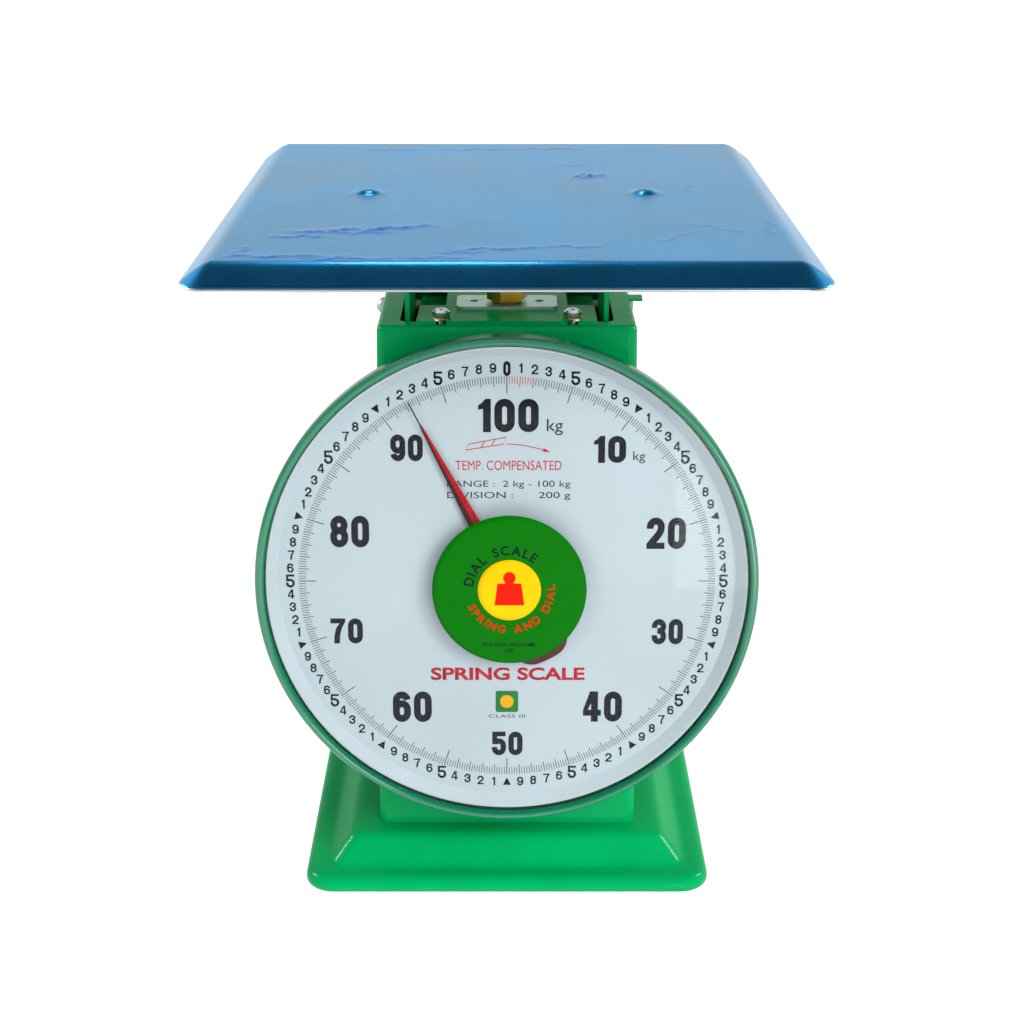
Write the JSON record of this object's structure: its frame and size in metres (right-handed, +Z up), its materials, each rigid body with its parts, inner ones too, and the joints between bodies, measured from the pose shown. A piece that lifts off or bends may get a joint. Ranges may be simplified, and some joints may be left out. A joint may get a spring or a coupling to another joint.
{
  "type": "mechanical dial platform scale",
  "caption": "Spring dial platform scale: tray platform with sloping rim, box case with large round glazed dial, springs, guide arms, rack movement and pan base.",
  "frame": {"origin": "on the floor under the centre of the platform", "axes": "+Z up, dial faces -Y, +X to the right seen from the dial side"},
  "size_m": [0.364, 0.384, 0.4431],
  "materials": {
    "green_paint": "glossy sprayed enamel",
    "stainless": "fine brushed",
    "film": "thin glossy protective film",
    "zinc": "bright zinc plating",
    "yellow_zinc": "yellow zinc plating",
    "galvanised": "galvanised sheet",
    "spring_steel": "oiled spring steel",
    "brass": "machined",
    "rubber": "moulded",
    "dial_white": "satin print",
    "surround": "moulded",
    "glass": "clear domed pane",
    "pointer_red": "satin",
    "weight_red": "satin",
    "sticker": "printed label",
    "nylon": "moulded",
    "label_metal": "blank anodised plate"
  },
  "bodies": {
    "case": {"base_pan": "green_paint", "base_feet": "rubber", "feet_screws": "zinc", "case_shell": "green_paint", "case_bolts": "zinc", "rear_cover": "green_paint", "rear_cover_screws": "zinc", "rating_plate": "label_metal", "spring_bridge": "green_paint", "bridge_bolts": "zinc", "bridge_washers": "yellow_zinc", "zero_lock_plate": "galvanised", "spring_left": "spring_steel", "spring_right": "spring_steel", "upper_axle": "zinc", "lower_axle": "zinc", "axle_clips": "spring_steel", "movement_front_plate": "brass", "movement_rear_plate": "brass", "movement_pillars": "brass", "movement_screws": "zinc", "rack_guide": "nylon", "dial_drum": "green_paint", "drum_screws": "zinc", "dial_posts": "zinc", "dial_plate": "dial_white", "dial_surround": "surround", "lens_gasket": "rubber", "lens": "glass", "bezel_ring": "green_paint", "lens_sticker": "sticker"},
    "load_frame": {"platform_tray": "stainless", "platform_film": "film", "platform_bolts": "zinc", "platform_nuts": "zinc", "spider_plate": "green_paint", "spider_screws": "zinc", "load_side_left": "green_paint", "load_side_right": "green_paint", "spring_crossbar": "spring_steel", "crossbar_screws": "zinc", "rack_arm": "spring_steel", "bimetal_strip": "brass", "rack_pin": "zinc"},
    "upper_arm": {"upper_guide_arm": "green_paint", "upper_guide_pins": "zinc"},
    "lower_arm": {"lower_guide_arm": "green_paint", "lower_guide_pins": "zinc"},
    "rack_bar": {"rack": "spring_steel"},
    "pointer_spindle": {"pinion_shaft": "zinc", "pinion": "brass", "pointer_hub": "brass", "pointer": "pointer_red", "pointer_counterweight": "weight_red"},
    "zero_nut": {"zero_nut": "brass"},
    "zero_rod": {"zero_screw": "spring_steel", "spring_hanger": "spring_steel"}
  },
  "joints": [
    {"name": "platform_slide", "type": "slide", "parent": "case", "child": "load_frame", "axis": [0, 0, -1], "range_m": [0, 0.0268], "stiffness_N_per_m": 39400, "springref_m": -0.0009, "deforming": ["spring_left", "spring_right"]},
    {"name": "rack_slide", "type": "slide", "parent": "case", "child": "rack_bar", "axis": [0, -0.1392, -0.9903], "range_m": [0, 0.02707]},
    {"name": "pointer_spin", "type": "hinge", "parent": "case", "child": "pointer_spindle", "pos_m": [0, -0.12081, 0.214], "axis": [0, 0.9903, -0.1392], "range_deg": [0, 388]},
    {"name": "upper_arm_swing", "type": "hinge", "parent": "case", "child": "upper_arm", "pos_m": [0, 0.05, 0.35], "axis": [1, 0, 0], "range_deg": [0, 19.4]},
    {"name": "lower_arm_swing", "type": "hinge", "parent": "case", "child": "lower_arm", "pos_m": [0, 0.05, 0.11], "axis": [1, 0, 0], "range_deg": [0, 19.4]},
    {"name": "zero_nut_turn", "type": "hinge", "parent": "case", "child": "zero_nut", "pos_m": [0, -0.012, 0.372], "axis": [0, 0, 1], "range_deg": [-240.5, 240.5]},
    {"name": "zero_rod_lift", "type": "slide", "parent": "case", "child": "zero_rod", "axis": [0, 0, 1], "range_m": [-0.001, 0.001]}
  ],
  "couplings": [
    {"joint": "rack_slide", "follows": "platform_slide", "ratio": 1.0098},
    {"joint": "pointer_spin", "follows": "platform_slide", "rad_per_m": 252.46},
    {"joint": "upper_arm_swing", "follows": "platform_slide", "rad_per_m": 12.601},
    {"joint": "lower_arm_swing", "follows": "platform_slide", "rad_per_m": 12.601},
    {"joint": "zero_nut_turn", "follows": "zero_rod_lift", "rad_per_m": 4188.8}
  ]
}
